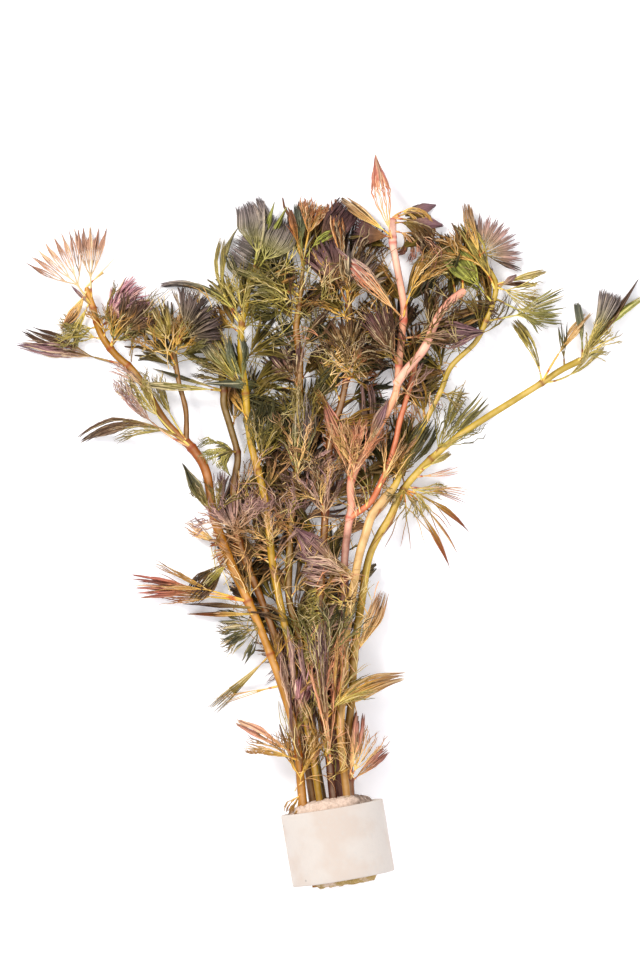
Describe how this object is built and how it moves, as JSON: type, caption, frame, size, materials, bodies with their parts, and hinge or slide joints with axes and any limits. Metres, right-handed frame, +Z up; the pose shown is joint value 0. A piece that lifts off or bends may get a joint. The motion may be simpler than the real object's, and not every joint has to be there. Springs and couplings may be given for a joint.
{
  "type": "fanwort bunch in ceramic ring",
  "caption": "Cut bunch of aquarium fanwort lying flat, its stems wrapped in foam and held by a short ceramic ring.",
  "frame": {"origin": "on the table, under the middle of the bunch's bounding box", "axes": "+Y along the bunch from the ring to the leaf tips, +X to the right as seen from above, +Z up from the table"},
  "size_m": [0.1814, 0.2148, 0.0299],
  "materials": {
    "ceramic": "matte",
    "foam": "matte",
    "stem_orange": "satin",
    "stem_yellow": "satin",
    "stem_brown": "satin",
    "stem_pink": "satin",
    "leaf_purple": "satin",
    "leaf_brown": "satin",
    "leaf_green": "satin"
  },
  "bodies": {
    "root": {"amber_loop": "leaf_green", "amber_mauve_fan": "leaf_purple", "amber_side_brush": "leaf_green", "amber_stem": "stem_orange", "brown_mauve_fan": "leaf_purple", "brown_net": "leaf_brown", "brown_stem": "stem_brown", "brown_thread_fan": "leaf_brown", "brown_tip_fan": "leaf_purple", "ceramic_ring": "ceramic", "foam": "foam", "fork_dark_fan": "leaf_purple", "fork_mauve_fan": "leaf_purple", "left_fork": "stem_orange", "left_inner_fan": "leaf_brown", "left_long_spikes": "leaf_green", "left_low_brush": "leaf_purple", "left_net": "leaf_brown", "left_pink_brush": "leaf_brown", "left_spike_fan": "leaf_purple", "left_stem": "stem_orange", "left_tip_fan": "leaf_brown", "left_wet_brush": "leaf_purple", "lime_mid_fan": "leaf_green", "lime_right_brush": "leaf_green", "lime_stem": "stem_yellow", "lime_tooth_fan": "leaf_green", "low_centre_fan": "leaf_brown", "low_corner_brush": "leaf_brown", "low_left_brush": "leaf_brown", "low_red_brush": "leaf_brown", "low_right_brush": "leaf_brown", "olive_column_brush": "leaf_brown", "olive_grey_fan": "leaf_purple", "olive_orange_fan": "leaf_brown", "olive_stem": "stem_brown", "olive_thread_fan": "leaf_brown", "pink_arch_leaf": "leaf_brown", "pink_dark_tuft": "leaf_purple", "pink_fork": "stem_pink", "pink_low_brush": "leaf_purple", "pink_mid_fan": "leaf_brown", "pink_olive_curl": "leaf_brown", "pink_pale_brush": "leaf_brown", "pink_rose_brush": "leaf_purple", "pink_side_brush": "leaf_purple", "pink_stem": "stem_pink", "pink_top_brush": "leaf_brown", "right_back_fan": "leaf_green", "right_down_fan": "leaf_brown", "right_stem": "stem_yellow", "right_tip_fan": "leaf_green", "rose_branch": "stem_pink", "yellow_green_brush": "leaf_green", "yellow_grey_fan": "leaf_purple", "yellow_hook_fan": "leaf_green", "yellow_pale_brush": "leaf_purple", "yellow_stem": "stem_yellow", "yellow_tip_fan": "leaf_purple"}
  },
  "joints": []
}
